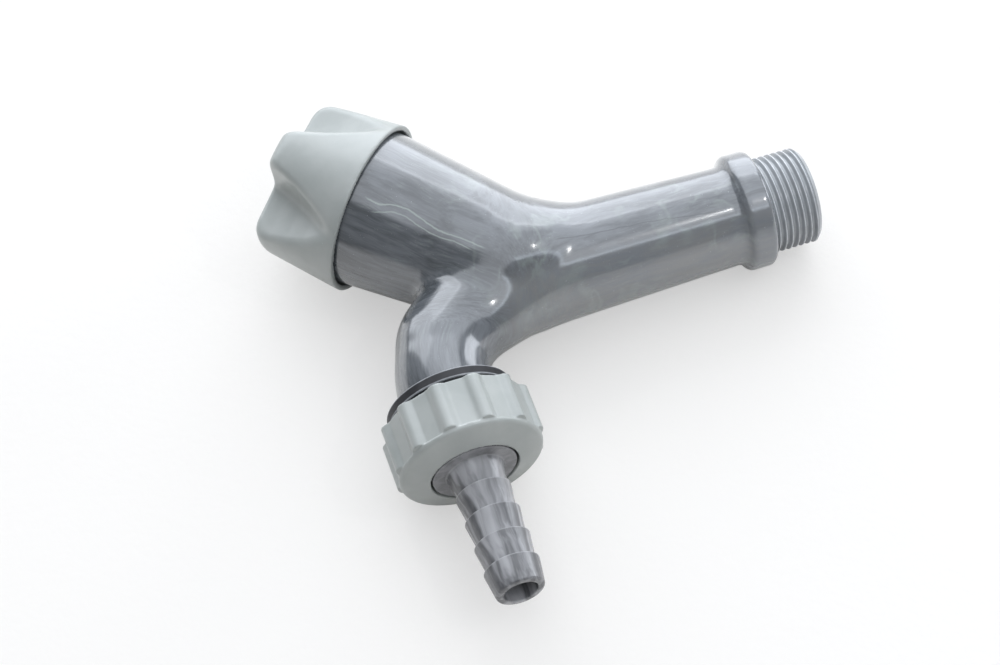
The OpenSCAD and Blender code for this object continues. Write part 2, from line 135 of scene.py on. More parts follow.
class TapBodySettings(PropertyGroup):
    pipe_radius: length("Pipe radius", 0.01335, "Radius of the inlet pipe beside its collar")
    pipe_root_radius: length("Pipe root radius", 0.0156, "Radius of the inlet pipe at the junction")
    barrel_root: length("Barrel root", 0.006, "Distance from the inlet's axis to the barrel's round root")
    barrel_root_radius: length("Barrel root radius", 0.01818, "Radius of the barrel at the junction")
    barrel_mouth_radius: length("Barrel mouth radius", 0.0221, "Radius of the barrel at its mouth")
    barrel_length: length("Barrel length", 0.05, "Length of the barrel from the inlet's axis")
    spout_radius: length("Spout radius", 0.0127, "Radius of the spout")
    spout_bend: length("Spout bend", 0.032, "Radius of the spout's centre line")
    crotch_reach: length("Crotch reach", 0.0085, "Size of the fillet between the barrel and the pipe")
    belly_reach: length("Belly reach", 0.001, "Size of the barrel's fillet on the underside of the pipe")
    throat_reach: length("Throat reach", 0.005, "Size of the fillet between the spout and the pipe")
    web_radius: length("Web radius", 0.0112, "Radius of the web between the spout and the pipe")
    web_inset: length("Web inset", 0.004, "Distance from the outlet's axis to the web's foot")
    web_drop: length("Web drop", 0.0128, "Distance from the inlet's axis to the web's foot")
    web_lead: length("Web lead", 0.0114, "Distance from the barrel's foot to where the web meets the pipe")
    web_reach: length("Web reach", 0.003, "Size of the fillets along the web")
    crease_reach: length("Crease reach", 0.0035, "Size of the fillet between the spout and the barrel")
    collar_radius: length("Collar radius", 0.01605, "Radius of the collar behind the inlet thread")
    collar_width: length("Collar width", 0.007, "Width of the collar behind the inlet thread")
    bore_radius: length("Bore radius", 0.0085, "Radius of the inlet's bore and of the spout's")
    flange_radius: length("Flange radius", 0.0171, "Radius of the flange behind the union nut")
    flange_start: length("Flange start", 0.0313, "Distance from the inlet's axis to the flange")
    flange_thickness: length("Flange thickness", 0.0027, "Thickness of the flange")
    spout_neck: length("Spout neck", 0.0, "Straight length between the spout's bend and its flange")


class TapThreadSettings(PropertyGroup):
    inlet_radius: length("Inlet thread radius", 0.01322, "Outside radius of the inlet thread")
    inlet_pitch: length("Inlet pitch", 0.0018143, "Pitch of the 3/4 inch pipe thread")
    inlet_depth: length("Inlet depth", 0.0011, "Depth of the inlet thread")
    outlet_radius: length("Outlet thread radius", 0.0166, "Outside radius of the outlet thread")
    outlet_pitch: length("Outlet pitch", 0.0023091, "Pitch of the 1 inch pipe thread")
    outlet_depth: length("Outlet depth", 0.0013, "Depth of the outlet thread")


class TapKnobSettings(PropertyGroup):
    rim_start: length("Rim start", 0.0479, "Distance along the barrel to the knob's rim")
    height: length("Height", 0.0265, "Height of the knob from its rim to its end")
    rim_radius: length("Rim radius", 0.0241, "Radius of the knob at its rim")
    end_radius: length("End radius", 0.0215, "Radius of the knob at its end")
    scoops: count("Scoops", 4, 3, 6, "Number of finger scoops")
    scoop_turn: angle("Scoop turn", 31.5, "Angle of the first scoop about the barrel")
    scoop_angle: angle("Scoop angle", 97.0, "Angle between a scoop's flanks")
    ridge_round: length("Ridge rounding", 0.0016, "Rounding where a scoop's flank meets the knob's skin")
    valley_round: length("Valley rounding", 0.0016, "Rounding of a scoop's bottom")


class TapNutSettings(PropertyGroup):
    ribs: count("Ribs", 12, 6, 20, "Number of grip ribs")
    land_radius: length("Land radius", 0.01895, "Distance from the axis to the flats between ribs")
    rib_radius: length("Rib radius", 0.0205, "Distance from the axis to the ribs' crests")
    rib_width: length("Rib width", 0.0046, "Width of a grip rib")
    rib_length: length("Rib length", 0.0135, "Length of a grip rib")
    nose_radius: length("Nose radius", 0.0196, "Radius of the band in front of the ribs")
    hole_radius: length("Hole radius", 0.012, "Radius of the hole in the nut's front")
    face_slope: amount("Face slope", 0.33, "How far the front falls back for each unit outwards")


class TapTailSettings(PropertyGroup):
    hub_radius: length("Hub radius", 0.01145, "Radius of the hub that fills the nut's hole")
    root_radius: length("Root radius", 0.0079, "Radius of the neck beside the hub")
    neck_radius: length("Neck radius", 0.0066, "Radius of the neck behind the first barb")
    barb_radius: length("Barb radius", 0.0075, "Radius of a barb's shoulder")
    foot_radius: length("Foot radius", 0.00645, "Radius of a barb's foot")
    pitch: length("Barb pitch", 0.0075, "Length of a barb")
    barbs: count("Barbs", 4, 2, 8, "Number of barbs")
    bore_radius: length("Bore radius", 0.0046, "Radius of the hose tail's bore")


class TapColourSettings(PropertyGroup):
    body_dark: tint("Body, dark", (0.06, 0.067, 0.074), "Darkest tone of the marbled body")
    body_light: tint("Body, light", (0.18, 0.193, 0.21), "Lightest tone of the marbled body")
    # warm grey of the web, partly the plastic's tone and partly a painted reflection of the floor
    body_warm_and_reflection: tint("Body, underside", (0.25, 0.25, 0.243), "Warm tone of the body's underside")
    body_wisp: tint("Body, wisps", (0.3, 0.35, 0.32), "Thin pale streaks in the body")
    flange: tint("Flange", (0.022, 0.022, 0.024), "Flange behind the union nut")
    tail_dark: tint("Tail, dark", (0.1, 0.101, 0.106), "Dark streaks of the hose tail")
    tail_light: tint("Tail, light", (0.44, 0.438, 0.45), "Light streaks of the hose tail")
    knob: tint("Knob and nut", (0.42, 0.44, 0.422), "Sage grey of the knob and the nut")
    knob_shade: tint("Knob and nut, shade", (0.352, 0.374, 0.358), "Darker tone of the sage grey")


class TapStageSettings(PropertyGroup):
    lens: FloatProperty(name="Lens", description="Focal length of the camera", default=100.8,
                        subtype="DISTANCE_CAMERA")
    distance: length("Distance", 0.7425, "Distance from the camera to the point it looks at")
    aim: FloatVectorProperty(name="Aim", description="Point that the camera looks at",
                             default=(-0.0792, -0.0151, 0.0), subtype="TRANSLATION", unit="LENGTH")
    heading: angle("Heading", 17.75, "Direction of view in plan, from +Y towards +X")
    pitch: angle("Pitch", 58.07, "How far the camera looks down")
    roll: angle("Roll", -1.09, "Turn of the camera about its line of sight")
    floor: tint("Floor", (0.86, 0.83, 0.79), "Colour of the floor")
    room: tint("Room", (0.92, 0.95, 1.0), "Colour of the light from all round")
    room_level: amount("Room level", 0.24, "Level of the light from all round")
    window_level: amount("Window level", 2.7, "Brightness of the tall soft light behind")
    ceiling_level: amount("Ceiling level", 1.26, "Brightness of the wide soft light above")
    side_level: amount("Side level", 3.4, "Brightness of the small window on the right")
    front_level: amount("Front level", 0.5, "Brightness of the low dim light in front")
    strip_level: amount("Strip level", 1.8, "Brightness of the thin blue strip above")
    pin_level: amount("Pin level", 120.0, "Brightness of the small hard light")


# Solid shapes as distances: negative inside, positive outside, in metres


def merged(one, other, reach):
    """Union of two shapes with a fillet of about the reach."""
    near = np.clip(reach - np.abs(one - other), 0.0, None)
    return np.minimum(one, other) - near * near / (4.0 * reach)


def carved(one, other, reach):
    """The first shape without the second, with the edge rounded by about the reach."""
    return -merged(-one, other, reach)


def cone(local, start_radius, end_radius, start, end):
    """Truncated cone about an axis, with flat ends."""
    rho = np.hypot(local[:, 0], local[:, 1])
    slope = (end_radius - start_radius) / (end - start)
    side = (rho - start_radius - slope * (local[:, 2] - start)) / sqrt(1.0 + slope * slope)
    return np.maximum(side, np.maximum(start - local[:, 2], local[:, 2] - end))


def round_root_cone(local, start_radius, end_radius, start, end):
    """Truncated cone that ends in a ball behind its start."""
    ball = np.linalg.norm(local - np.array([0.0, 0.0, start]), axis=1) - start_radius
    return np.where(local[:, 2] < start, ball, cone(local, start_radius, end_radius, start - 1.0 * MM, end))


def disc(local, radius, start, end, edge):
    """Disc about an axis with rounded edges."""
    rho = np.hypot(local[:, 0], local[:, 1]) - (radius - edge)
    high = np.abs(local[:, 2] - (start + end) / 2.0) - ((end - start) / 2.0 - edge)
    outside = np.hypot(np.maximum(rho, 0.0), np.maximum(high, 0.0))
    return outside + np.minimum(np.maximum(rho, high), 0.0) - edge


def bent_tube(points, centre, bend, first, last, radius):
    """Tube bent in the plane of the three axes, with round ends."""
    dx = points[:, 0] - centre[0]
    dy = points[:, 1] - centre[1]
    turn = np.clip(np.arctan2(dy, dx) % (2.0 * pi), first, last)
    dx, dy = dx - bend * np.cos(turn), dy - bend * np.sin(turn)
    return np.sqrt(dx ** 2 + dy ** 2 + points[:, 2] ** 2) - radius


def smooth_step(value, low, high):
    share = np.clip((value - low) / (high - low), 0.0, 1.0)
    return share * share * (3.0 - 2.0 * share)


def eased(value, low, high, first, last):
    """A size that goes smoothly from first to last while the value goes from low to high."""
    return first + (last - first) * smooth_step(value, low, high)


# Meshes


def surface_nets(field, low, high, step):
    """Vertices and quads where a distance field crosses zero, pulled onto the surface."""
    low, high = np.array(low), np.array(high)
    count = np.ceil((high - low) / step).astype(int) + 1
    rows = [low[i] + step * np.arange(count[i]) for i in range(3)]
    values = np.empty(tuple(count))
    for i, x in enumerate(rows[0]):
        sheet = np.empty((count[1], count[2], 3))
        sheet[..., 0] = x
        sheet[..., 1] = rows[1][:, None]
        sheet[..., 2] = rows[2][None, :]
        values[i] = field(sheet.reshape(-1, 3)).reshape(count[1], count[2])
    cells = tuple(count - 1)
    total = np.zeros(cells + (3,))
    crossings = np.zeros(cells)
    faces = []
    edges = []
    for axis in range(3):
        here = np.take(values, range(count[axis] - 1), axis)
        there = np.take(values, range(1, count[axis]), axis)
        crossed = (here < 0.0) != (there < 0.0)
        share = np.where(crossed, here / np.where(crossed, here - there, 1.0), 0.0)
        others = [i for i in range(3) if i != axis]
        for a in (0, 1):
            for b in (0, 1):
                corner = [slice(None)] * 3
                corner[others[0]] = slice(a, a + cells[others[0]])
                corner[others[1]] = slice(b, b + cells[others[1]])
                on = crossed[tuple(corner)]
                crossings += on
                total[..., axis] += share[tuple(corner)] * on
                total[..., others[0]] += a * on
                total[..., others[1]] += b * on
        edges.append((crossed, here < 0.0, others))
    active = crossings > 0
    index = np.full(cells, -1)
    index[active] = np.arange(active.sum())
    place = np.argwhere(active) + total[active] / crossings[active][:, None]
    verts = low + step * place
    for axis, (crossed, inside, others) in enumerate(edges):
        where = np.argwhere(crossed)
        keep = np.all([(where[:, o] > 0) & (where[:, o] < cells[o]) for o in others], axis=0)
        where = where[keep]
        ring = []
        for a, b in ((0, 0), (1, 0), (1, 1), (0, 1)):
            cell = where.copy()
            cell[:, others[0]] -= a
            cell[:, others[1]] -= b
            ring.append(index[tuple(cell.T)])
        quad = np.stack(ring, 1)
        flip = inside[tuple(where.T)] == (axis != 1)
        quad[flip] = quad[flip][:, ::-1]
        faces.append(quad)
    faces = np.concatenate(faces)
    verts = relaxed(verts, faces)
    return settled(field, verts, step), faces


def relaxed(verts, faces):
    """Evens out the quads by moving each vertex halfway to the middle of its neighbours."""
    total = np.zeros_like(verts)
    count = np.zeros(len(verts))
    for a, b in ((0, 1), (1, 2), (2, 3), (3, 0)):
        for one, other in ((a, b), (b, a)):
            np.add.at(total, faces[:, one], verts[faces[:, other]])
            np.add.at(count, faces[:, one], 1)
    return 0.5 * verts + 0.5 * total / count[:, None]


def slope_of(field, points, reach):
    """Gradient of a distance field."""
    slope = np.empty_like(points)
    for i in range(3):
        offset = np.zeros(3)
        offset[i] = reach
        slope[:, i] = (field(points + offset) - field(points - offset)) / (2.0 * reach)
    return slope


def settled(field, verts, step):
    """Moves the vertices onto the surface, by at most half a step at a time."""
    rounds, reach, least_slope = 4, 0.05 * step, 0.05
    for _ in range(rounds):
        slope = slope_of(field, verts, reach)
        steep = np.maximum((slope ** 2).sum(1), least_slope)
        move = slope * (field(verts) / steep)[:, None]
        size = np.linalg.norm(move, axis=1)
        verts = verts - move * np.minimum(1.0, 0.5 * step / np.maximum(size, TINY))[:, None]
    return verts


def face_normals(verts, faces):
    """Area-weighted normals of quads."""
    return 0.5 * np.cross(verts[faces[:, 2]] - verts[faces[:, 0]], verts[faces[:, 3]] - verts[faces[:, 1]])


def shade(verts, faces):
    """Vertex normals in which large faces count for more, so that flats stay flat beside their roundings."""
    each = face_normals(verts, faces)
    total = np.zeros_like(verts)
    for i in range(4):
        np.add.at(total, faces[:, i], each)
    return total / np.maximum(np.linalg.norm(total, axis=1), TINY ** 2)[:, None]


def piece(name, mesh_data, body, node, finish, crest=None):
    """A named piece of the tap that stands for a CAD node and rides on its body. Its crests may be marked."""
    verts, faces = mesh_data
    mesh = bpy.data.meshes.new(name)
    mesh.from_pydata([tuple(v) for v in verts], [], [tuple(int(i) for i in f) for f in faces])
    if crest is not None:
        marks = mesh.attributes.new("crest", "FLOAT", "POINT")
        marks.data.foreach_set("value", np.asarray(crest, np.float32))
    mesh.shade_smooth()
    mesh.normals_split_custom_set_from_vertices([tuple(n) for n in shade(verts, faces)])
    mesh.update()
    obj = bpy.data.objects.new(name, mesh)
    bpy.context.scene.collection.objects.link(obj)
    obj.data.materials.append(finish)
    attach(obj, body)
    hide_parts(node)


def rounded_path(points):
    """A closed outline from (along, radius, rounding) corners, each rounding as a short arc."""
    path = []
    count = len(points)
    for i, (z, r, radius) in enumerate(points):
        here = np.array([z, r])
        if radius == 0.0:
            path.append(here)
            continue
        before = np.array(points[i - 1][:2]) - here
        after = np.array(points[(i + 1) % count][:2]) - here
        before /= np.linalg.norm(before)
        after /= np.linalg.norm(after)
        half = 0.5 * np.arccos(np.clip(before @ after, -1.0, 1.0))
        centre = here + (before + after) / np.linalg.norm(before + after) * radius / sin(half)
        first = here + before * radius / tan(half)
        last = here + after * radius / tan(half)
        start = atan2(*(first - centre)[::-1])
        sweep = (atan2(*(last - centre)[::-1]) - start + pi) % (2.0 * pi) - pi
        steps = max(3, int(abs(sweep) / ARC_STEP))
        for k in range(steps + 1):
            turn = start + sweep * k / steps
            path.append(centre + radius * np.array([cos(turn), sin(turn)]))
    return np.array(path)


def turned(axis, outline, sides):
    """A closed outline turned about an axis into a ring of quads. The outline may differ at each angle."""
    turns = 2.0 * pi * np.arange(sides) / sides
    if outline.ndim == 2:
        outline = np.repeat(outline[None], sides, 0)
    along, radius = outline[..., 0], outline[..., 1]
    local = np.stack([radius * np.cos(turns)[:, None], radius * np.sin(turns)[:, None], along], -1)
    verts = axis.world(local.reshape(-1, 3))
    rows = outline.shape[1]
    i, j = np.meshgrid(np.arange(sides), np.arange(rows), indexing="ij")
    ahead, up = (i + 1) % sides, (j + 1) % rows
    quads = np.stack([i * rows + j, ahead * rows + j, ahead * rows + up, i * rows + up], -1).reshape(-1, 4)
    volume = (verts[quads].mean(1) * face_normals(verts, quads)).sum()
    return verts, quads if volume > 0 else quads[:, ::-1]


def thread_outline(start, end, first, last, radius, depth, pitch, chamfer, bore, sides):
    """Outlines of a threaded stub, one at each angle: a helix that fades in and out, then a bored inside."""
    row = 0.07 * MM
    crest, root = 0.10, 0.24  # shares of half a pitch that a crest and a root take up
    rows = np.linspace(start, end - chamfer, int(round((end - chamfer - start) / row)))
    turns = np.arange(sides) / sides
    phase = ((rows[None, :] - first) / pitch - turns[:, None]) % 1.0
    away = np.abs(phase - np.round(phase)) * 2.0
    groove = smooth_step(away, crest, 1.0 - root)
    fade = smooth_step(rows, first - 0.45 * pitch, first + 0.1 * pitch)
    fade = fade * (1.0 - smooth_step(rows, last, last + 0.5 * pitch))
    outer = radius - depth * groove * fade[None, :]
    rim, mouth = 0.1 * MM, 0.5 * MM  # steps of the end's chamfer and of the bore's
    ends = np.array([[end, radius - chamfer], [end, radius - chamfer - rim], [end, bore + mouth],
                     [end - mouth, bore], [start, bore]])
    outline = np.empty((sides, len(rows) + len(ends), 2))
    outline[:, :len(rows), 0] = rows
    outline[:, :len(rows), 1] = outer
    outline[:, len(rows):] = ends
    mark = np.zeros(outline.shape[:2])
    mark[:, :len(rows)] = (1.0 - smooth_step(away, crest, 2.4 * crest)) * fade[None, :]
    return outline, mark.reshape(-1)


# Finishes


def both_ways(operation):
    """An operator of Value and its reflected form."""
    return (lambda self, other: self.math(operation, self, other),
            lambda self, other: self.math(operation, other, self))


class Value:
    """A number, colour or vector in a finish. Sums and products of numbers add their Math nodes."""

    __add__, __radd__ = both_ways("ADD")
    __sub__, __rsub__ = both_ways("SUBTRACT")
    __mul__, __rmul__ = both_ways("MULTIPLY")

    def __init__(self, finish, socket):
        self.finish = finish
        self.socket = socket

    def math(self, operation, first, second, clamp=False):
        return self.finish.node("ShaderNodeMath", {"operation": operation, "use_clamp": clamp},
                                {0: first, 1: second})

    def __abs__(self):
        return self.math("ABSOLUTE", self, 0.0)

    def clamped(self):
        return self.math("ADD", self, 0.0, clamp=True)

    def bearing(self, other):
        """Angle about the origin, in radians, of a point with this coordinate aside and the other ahead."""
        return self.math("ARCTAN2", self, other)

    def step(self, low, high):
        """0 below low and 1 above high, with a smooth rise between them."""
        return self.finish.node("ShaderNodeMapRange", {"interpolation_type": "SMOOTHSTEP"},
                                {"Value": self, "From Min": low, "From Max": high}, "Result")


class Finish:
    """A material for the tap, built on one Principled shader."""

    def __init__(self, name, **constants):
        self.material = bpy.data.materials.new(name)
        self.material.use_nodes = True
        self.tree = self.material.node_tree
        self.tree.nodes.clear()
        self.shader = self.tree.nodes.new("ShaderNodeBsdfPrincipled")
        output = self.tree.nodes.new("ShaderNodeOutputMaterial")
        self.tree.links.new(self.shader.outputs["BSDF"], output.inputs["Surface"])
        for key, value in constants.items():
            self.shader.inputs[key.replace("_", " ")].default_value = value

    def node(self, kind, settings=None, inputs=None, output=0):
        """One node: its settings first, then the values or links of its sockets. Gives one of its outputs."""
        node = self.tree.nodes.new(kind)
        for key, value in (settings or {}).items():
            if key == "interpolation":
                node.color_ramp.interpolation = value
            elif key == "stops":
                ramp = node.color_ramp.elements
                while len(ramp) < len(value):
                    ramp.new(1.0)
                for element, (position, colour) in zip(ramp, value):
                    element.position = position
                    element.color = (*colour, 1.0)
            else:
                setattr(node, key, value)
        for key, value in (inputs or {}).items():
            self.feed(node.inputs[key], value)
        return Value(self, node.outputs[output])

    def feed(self, socket, value):
        if isinstance(value, Value):
            self.tree.links.new(value.socket, socket)
        elif socket.type == "RGBA" and len(value) == 3:
            socket.default_value = (*value, 1.0)
        else:
            socket.default_value = value

    def set(self, name, value):
        self.feed(self.shader.inputs[name], value)

    def vector(self, operation, first, second, output=0):
        """Vector Math on two vectors."""
        return self.node("ShaderNodeVectorMath", {"operation": operation}, {0: first, 1: second}, output)

    def place(self):
        """Where a point is at rest, in millimetres."""
        spot = self.node("ShaderNodeTexCoord", output="Object")
        return self.node("ShaderNodeVectorMath", {"operation": "SCALE"}, {0: spot, "Scale": 1.0 / MM})

    def noise(self, vector, scale, detail=3.0, rough=0.5, distort=0.0, output="Fac"):
        return self.node("ShaderNodeTexNoise", {"noise_dimensions": "3D"},
                         {"Vector": vector, "Scale": scale, "Detail": detail, "Roughness": rough,
                          "Distortion": distort}, output)

    def drift(self, vector, scale, amount):
        """The vector moved about by a slow noise, up to about half the amount each way."""
        colour = self.noise(vector, scale, 2.0, output="Color")
        centred = self.vector("SUBTRACT", colour, (0.5, 0.5, 0.5))
        moved = self.node("ShaderNodeVectorMath", {"operation": "SCALE"}, {0: centred, "Scale": amount})
        return self.vector("ADD", vector, moved)

    def part(self, vector, name):
        """One coordinate of a vector: X, Y or Z."""
        return self.node("ShaderNodeSeparateXYZ", None, {0: vector}, name)

    def joined(self, x, y, z):
        return self.node("ShaderNodeCombineXYZ", None, {0: x, 1: y, 2: z})

    def blend_vectors(self, share, first, second):
        """Two vectors mixed by a number."""
        return self.node("ShaderNodeMix", {"data_type": "VECTOR"}, {0: share, 4: first, 5: second}, 1)

    def mix(self, share, first, second):
        """Two colours mixed by a number."""
        return self.node("ShaderNodeMix", {"data_type": "RGBA"}, {0: share, 6: first, 7: second}, 2)

    def crest(self):
        """1 on the crests and rims that the mesh marks, and 0 elsewhere."""
        return self.node("ShaderNodeAttribute", {"attribute_name": "crest"}, None, "Fac")

    def thread_of(self, noise, width):
        """Thin lines where a noise passes its middle value."""
        return 1.0 - abs(noise - 0.5).step(0.0, width)

    def bump(self, height, strength, distance):
        self.set("Normal", self.node("ShaderNodeBump", None, {"Strength": strength, "Distance": distance,
                                                              "Height": height}, "Normal"))


def along(finish, place, axis):
    """How far a point lies along an axis, its angle about the axis in degrees, and its height and side."""
    spot = finish.vector("SUBTRACT", place, tuple(axis.origin / MM))
    run, up, aside = (finish.vector("DOT_PRODUCT", spot, tuple(axis.rows[i]), "Value") for i in (2, 0, 1))
    return run, aside.bearing(up) * (180.0 / pi), up, aside


def drawn_out(finish, place, axis, stretch):
    """Coordinates along an axis of the tap, drawn out by the stretch, so that streaks run with the flow."""
    run, _, up, aside = along(finish, place, axis)
    return finish.joined(run * (1.0 / stretch), up, aside)


def round_the_bend(finish, place, stretch):
    """Coordinates along the spout's bend, drawn out by the stretch."""
    s = bpy.context.scene.tap_body
    centre = ((OUTLET.origin[0] + s.spout_bend) / MM, (s.spout_neck - s.flange_start) / MM, 0.0)
    spot = finish.vector("SUBTRACT", place, centre)
    x, y, z = (finish.part(spot, name) for name in "XYZ")
    rim = finish.vector("LENGTH", finish.joined(x, y, 0.0), (0.0, 0.0, 0.0), "Value")
    return finish.joined(y.bearing(-1.0 * x) * (s.spout_bend / MM / stretch), rim, z)


def drawn_line(finish, run, turn, stops, width):
    """A thin streak along an axis. Its stops give the angle at distances along the axis."""
    low, high = stops[0][0], stops[-1][0]
    share = (run - low) * (1.0 / (high - low))
    tones = [((at - low) / (high - low), ((angle + 90.0) / 180.0,) * 3) for at, angle in stops]
    level = finish.node("ShaderNodeValToRGB", {"interpolation": "B_SPLINE", "stops": tones}, {"Fac": share})
    grey = finish.node("ShaderNodeSeparateColor", None, {"Color": level}, "Red")
    off = abs(turn - (grey * 180.0 - 90.0))
    return (1.0 - off.step(0.0, width)) * share.step(0.0, 0.06) * (1.0 - share.step(0.94, 1.0))


# Thin lines in the body's marbling: millimetres along the axis, and degrees about it
UPPER_LINE = ((9.0, -25.9), (15.4, -24.9), (20.8, -27.3), (26.2, -25.4), (32.0, -20.9), (36.3, -21.1),
              (40.4, -27.4), (45.0, -24.0))
LOWER_LINE = ((12.0, -31.7), (16.8, -29.9), (23.1, -31.8), (27.6, -30.1), (32.6, -25.8), (36.8, -27.3),
              (42.0, -34.0))
SEAM_LINE = ((-60.0, 7.0), (-47.0, 10.6), (-35.6, 12.5), (-24.8, 18.0), (-12.0, 26.0))


def marbled_body(colours):
    """Glossy dark grey plastic with soft marbling along the flow, pale wisps, specks and fine scratches, and a
    warm grey web that is partly a painted reflection of the floor.
    """
    f = Finish("marbled_body", Specular_IOR_Level=1.0, Coat_Weight=1.0, Coat_Roughness=0.12, Coat_IOR=1.5)
    place = f.place()
    loose = f.drift(place, 0.045, 6.0)
    run, turn, _, _ = along(f, place, BARREL)
    pipe_run, pipe_turn, _, _ = along(f, place, INLET)
    left = 1.0 - pipe_run.step(-78.0, -54.0)
    depth = -1.0 * f.part(place, "Y")
    low = (depth - 0.3 * (pipe_run + 98.0)).step(2.0, 14.0)
    # the web between spout and pipe: warm grey that is partly the plastic's tone and partly a painted
    # reflection of the floor
    web_tone_and_reflection = depth.step(4.0, 11.0) * pipe_run.step(-84.0, -70.0)
    stream = f.blend_vectors(left, drawn_out(f, loose, INLET, 7.0), drawn_out(f, loose, BARREL, 12.0))
    stream = f.blend_vectors(low, stream, round_the_bend(f, loose, 9.0))
    cloud = f.noise(loose, 0.05, 3.0, 0.5)
    streak = f.noise(stream, 0.22, 6.0, 0.62, 0.3)
    fine = f.noise(stream, 0.9, 4.0, 0.6, 0.2)
    tone = (cloud * 0.5 + streak * 0.6 + fine * 0.55 - 0.35).step(0.28, 0.7)
    tone = (tone * 0.82 + (1.0 - left) * 0.2 + low * 0.04 + pipe_run.step(-16.0, -4.0) * 0.25).clamped()
    wave = f.noise(place, 0.3, 3.0) * 3.2 - 1.6
    upper = drawn_line(f, run, turn + wave, UPPER_LINE, 1.1)
    lower = drawn_line(f, run, turn + wave, LOWER_LINE, 0.9)
    seam = drawn_line(f, pipe_run, pipe_turn + wave, SEAM_LINE, 1.0)
    brushed = f.noise(stream, 1.7, 3.0, 0.7).step(0.5, 0.8) * f.noise(loose, 0.09, 2.0).step(0.42, 0.6)
    curls = f.thread_of(f.noise(f.drift(place, 0.05, 16.0), 0.1, 2.5, 0.5), 0.07)
    curls = curls * f.noise(loose, 0.09, 2.0).step(0.44, 0.6) * pipe_run.step(-92.0, -70.0)
    specks = f.noise(place, 2.3, 2.0, 0.7).step(0.715, 0.75)
    colour = f.mix(tone, colours.body_dark, colours.body_light)
    # warm web: partly a painted floor reflection
    colour = f.mix(web_tone_and_reflection * 0.85, colour, f.mix(tone, colours.body_warm_and_reflection, colours.body_light))
    colour = f.mix(seam * 0.7, colour, colours.body_dark)
    wisps = (brushed * 0.32 + curls * 0.3 + upper * 0.85 + lower * 0.7).clamped()
    colour = f.mix(wisps, colour, colours.body_wisp)
    colour = f.mix(specks * 0.6, colour, (0.5, 0.52, 0.54))
    f.set("Base Color", colour)
    grain = f.noise(place, 0.9, 4.0, 0.6)
    f.set("Roughness", 0.13 + grain * 0.08 + specks * 0.2)
    scratch_place = f.vector("MULTIPLY", f.drift(place, 0.2, 3.0), (0.25, 1.6, 1.0))
    scratches = f.thread_of(f.noise(scratch_place, 0.55, 1.0), 0.008)
    height = f.noise(place, 0.12, 2.0, 0.4) * 0.8 + grain * 0.05 + f.noise(place, 2.6, 2.0) * 0.03
    height = height + specks * 0.08 - scratches * 0.03
    f.bump(height, 0.25, 0.1 * MM)
    return f.material


def thread_finish(colours):
    """The body's plastic on the threads, with pale crests that are worn burrs together with painted
    highlights.
    """
    f = Finish("threaded_body", Specular_IOR_Level=0.8)
    place = f.place()
    tone = f.noise(f.drift(place, 0.06, 8.0), 0.15, 4.0, 0.6).step(0.3, 0.7)
    crest = f.crest()
    patchy = f.noise(place, 0.45, 3.0, 0.6).step(0.3, 0.62)
    colour = f.mix(tone, colours.body_dark, colours.body_light)
    # pale crests: worn burrs and a painted highlight along each crest
    colour = f.mix(0.5 + crest * (0.15 + patchy * 0.35), colour, (0.6, 0.62, 0.64))
    f.set("Base Color", colour)
    f.set("Roughness", 0.22 + crest * 0.15)
    f.bump(f.noise(place, 1.2, 3.0, 0.6), 0.2, 0.06 * MM)
    return f.material


def flange_finish(colours):
    """Dark satin plastic with thin pale rims, painted on as highlights of the rounded edges."""
    f = Finish("flange_plastic", Specular_IOR_Level=0.3)
    place = f.place()
    cloud = f.noise(place, 0.25, 4.0, 0.6).step(0.35, 0.7)
    colour = f.mix(cloud * 0.5, colours.flange, (0.05, 0.05, 0.054))
    # painted highlight: the marked rims are lightened towards pale grey
    colour = f.mix(f.crest() * (0.65 + cloud * 0.35), colour, (0.42, 0.43, 0.45))
    f.set("Base Color", colour)
    f.set("Roughness", 0.4 + cloud * 0.1)
    f.bump(f.noise(place, 1.0, 3.0, 0.6), 0.15, 0.06 * MM)
    return f.material


def sage_finish(colours):
    """Satin sage grey plastic of the knob and nut: faint mottle, fine texture, small pale scuffs."""
    f = Finish("sage_plastic", Specular_IOR_Level=0.75)
    place = f.place()
    mottle = f.noise(f.drift(place, 0.05, 14.0), 0.07, 4.0, 0.55).step(0.32, 0.7)
    scuffs = f.noise(f.drift(place, 0.4, 2.0), 1.1, 2.0, 0.7).step(0.72, 0.80)
    colour = f.mix(mottle, colours.knob_shade, colours.knob)
    colour = f.mix(scuffs * 0.5, colour, (0.62, 0.66, 0.64))
    f.set("Base Color", colour)
    grain = f.noise(place, 1.4, 3.0, 0.55)
    f.set("Roughness", 0.28 + grain * 0.08)
    f.bump(f.noise(place, 0.25, 2.0) * 0.4 + grain * 0.12, 0.25, 0.1 * MM)
    return f.material


def marbled_tail(colours):
    """Lilac grey plastic of the hose tail, with soft streaks along it."""
    f = Finish("marbled_tail", Specular_IOR_Level=0.8)
    place = f.place()
    loose = f.drift(place, 0.08, 3.0)
    stream = drawn_out(f, loose, OUTLET, 14.0)
    band = f.noise(stream, 0.2, 2.0, 0.5).step(0.42, 0.58)
    streak = f.noise(stream, 0.42, 3.0, 0.55, 0.4).step(0.38, 0.62)
    cloud = f.noise(loose, 0.12, 3.0, 0.5)
    hub = 1.0 - along(f, place, OUTLET)[0].step(NUT_FRONT / MM - 0.4, NUT_FRONT / MM + 0.8)
    tone = (band * 0.5 + streak * 0.4 + cloud * 0.4 - 0.15).clamped() * (1.0 - hub * 0.7) + hub * 0.3
    specks = f.noise(place, 2.1, 2.0, 0.7).step(0.73, 0.78)
    colour = f.mix(tone, colours.tail_dark, colours.tail_light)
    colour = f.mix((specks * 0.35 + f.crest() * 0.35).clamped(), colour, (0.55, 0.55, 0.56))
    f.set("Base Color", colour)
    f.set("Roughness", 0.2 + cloud * 0.1)
    f.bump(f.noise(place, 0.8, 3.0, 0.6), 0.15, 0.06 * MM)
    return f.material


